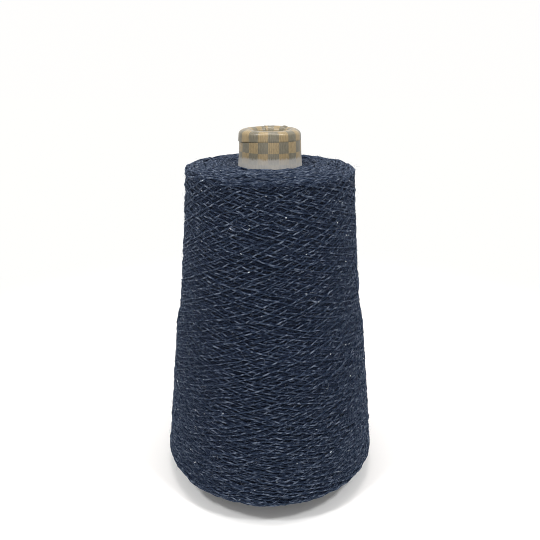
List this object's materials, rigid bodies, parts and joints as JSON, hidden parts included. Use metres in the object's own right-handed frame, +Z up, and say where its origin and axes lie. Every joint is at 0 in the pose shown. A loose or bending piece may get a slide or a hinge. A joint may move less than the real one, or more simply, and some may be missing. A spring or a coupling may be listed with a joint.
{
  "type": "cone of knitting yarn",
  "caption": "Cross-wound cone of fine navy tweed yarn on a rolled paper cone with a turned-in nose and a plain two-tone check print.",
  "frame": {"origin": "on the cone's axis, in the plane of the cut base edge that it stands on", "axes": "+Z up along the axis, from the wide base to the rolled nose"},
  "size_m": [0.1432, 0.144, 0.23],
  "materials": {
    "board": "matte",
    "printed_paper": "satin",
    "yarn": "matte"
  },
  "bodies": {
    "root": {"board_cone": "board", "paper_cover": "printed_paper", "yarn_body": "yarn", "outer_turns": "yarn"}
  },
  "joints": []
}
